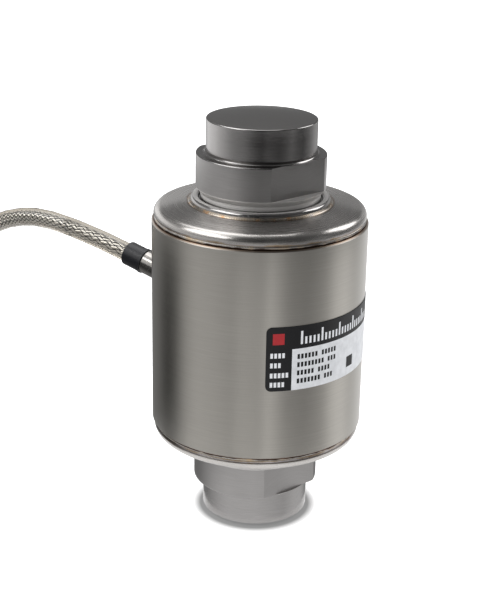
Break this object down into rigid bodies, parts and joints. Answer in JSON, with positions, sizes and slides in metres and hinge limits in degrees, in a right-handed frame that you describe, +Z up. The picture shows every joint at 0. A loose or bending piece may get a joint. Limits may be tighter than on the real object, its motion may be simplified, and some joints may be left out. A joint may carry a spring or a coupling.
{
  "type": "rocker column load cell",
  "caption": "Column load cell with crowned ends that let it rock upright, a welded stainless housing round its strain gauges, and a tied coil of cable.",
  "frame": {"origin": "lowest point of the crowned foot, on the loading axis", "axes": "+Z up the loading axis from the foot to the button, -Y towards the rating label, +X to the label's right; the cable leaves between -X and +Y"},
  "size_m": [0.3287, 0.1819, 0.15],
  "materials": {
    "column_steel": "turned stainless steel, matt",
    "tube_steel": "stainless tube, brushed round",
    "cover_steel": "turned stainless steel, bright",
    "weld_steel": "heat-tinted weld",
    "nipple_steel": "polished stainless steel",
    "sleeve_rubber": "black, satin",
    "seal_glass": "sealing glass",
    "potting": "cast resin",
    "pin_metal": "gold plated",
    "label_film": "printed polyester film",
    "gauge_film": "polyimide film with foil grids",
    "board_laminate": "glass-epoxy laminate",
    "spacer_plastic": "moulded insulator",
    "resistor_ceramic": "chip resistor",
    "tinned_metal": "tinned copper",
    "wire_insulation": "wire insulation",
    "cable_jacket": "clear jacket over a steel braid",
    "tie_nylon": "black nylon"
  },
  "bodies": {
    "root": {"rocker_column": "column_steel", "housing_tube": "tube_steel", "upper_cover": "cover_steel", "lower_cover": "cover_steel", "upper_seam_weld": "weld_steel", "lower_seam_weld": "weld_steel", "upper_diaphragm_weld": "weld_steel", "lower_diaphragm_weld": "weld_steel", "nipple_weld": "weld_steel", "cable_nipple": "nipple_steel", "cable_sleeve": "sleeve_rubber", "glass_seal": "seal_glass", "nipple_potting": "potting", "seal_pins": "pin_metal", "rating_label": "label_film", "board_jumpers": "tinned_metal", "trim_resistors": "resistor_ceramic", "cable": "cable_jacket", "cable_coil": "cable_jacket", "end_sleeve": "sleeve_rubber", "lead_wires": "wire_insulation", "lead_ferrules": "tinned_metal", "strain_gauge_1": "gauge_film", "terminal_strip_1": "board_laminate", "gauge_lead_1": "wire_insulation", "strain_gauge_2": "gauge_film", "terminal_strip_2": "board_laminate", "gauge_lead_2": "wire_insulation", "strain_gauge_3": "gauge_film", "terminal_strip_3": "board_laminate", "gauge_lead_3": "wire_insulation", "strain_gauge_4": "gauge_film", "terminal_strip_4": "board_laminate", "gauge_lead_4": "wire_insulation", "circuit_board_front": "board_laminate", "board_spacer_front": "spacer_plastic", "circuit_board_rear": "board_laminate", "board_spacer_rear": "spacer_plastic", "output_wire_1": "wire_insulation", "output_wire_2": "wire_insulation", "output_wire_3": "wire_insulation", "output_wire_4": "wire_insulation", "output_wire_5": "wire_insulation", "output_wire_6": "wire_insulation", "coil_tie_1": "tie_nylon", "coil_tie_2": "tie_nylon", "coil_tie_3": "tie_nylon"}
  },
  "joints": []
}
